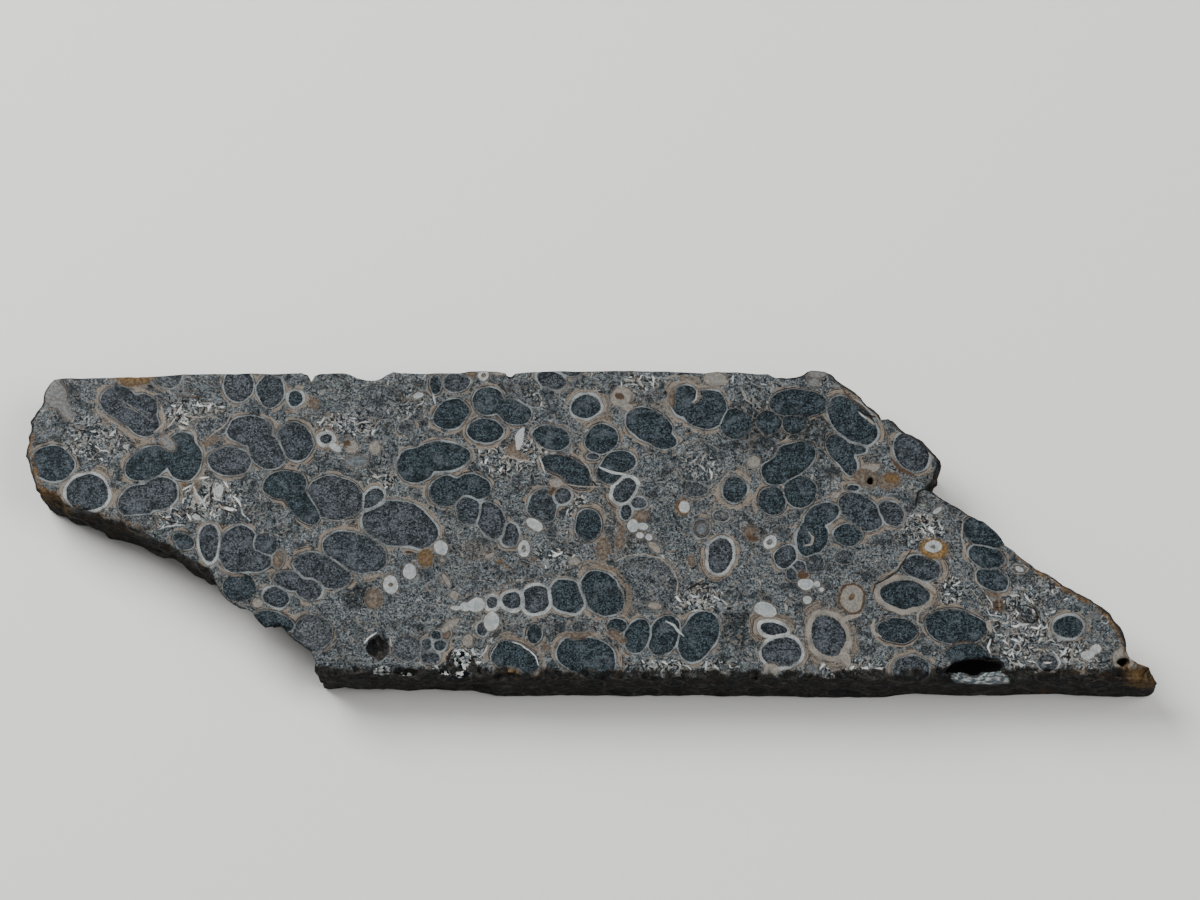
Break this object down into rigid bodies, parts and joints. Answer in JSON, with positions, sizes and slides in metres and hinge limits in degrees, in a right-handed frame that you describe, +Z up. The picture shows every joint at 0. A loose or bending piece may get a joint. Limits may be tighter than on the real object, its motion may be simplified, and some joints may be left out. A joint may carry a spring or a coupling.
{
  "type": "turritella fossil slab",
  "caption": "Long sawn slab of dark stone packed with spiral snail shells, cut through as pale rimmed ovals; straight front and back, broken slanting ends.",
  "frame": {"origin": "middle of the bounding box, on the lower sawn face that the slab lies on", "axes": "+X along the slab towards its pointed end, +Y towards the shorter sawn wall at the back, +Z up out of the upper sawn face"},
  "size_m": [0.1796, 0.0522, 0.01],
  "materials": {
    "stone": "satin"
  },
  "bodies": {
    "root": {"fossil_slab": "stone"}
  },
  "joints": []
}
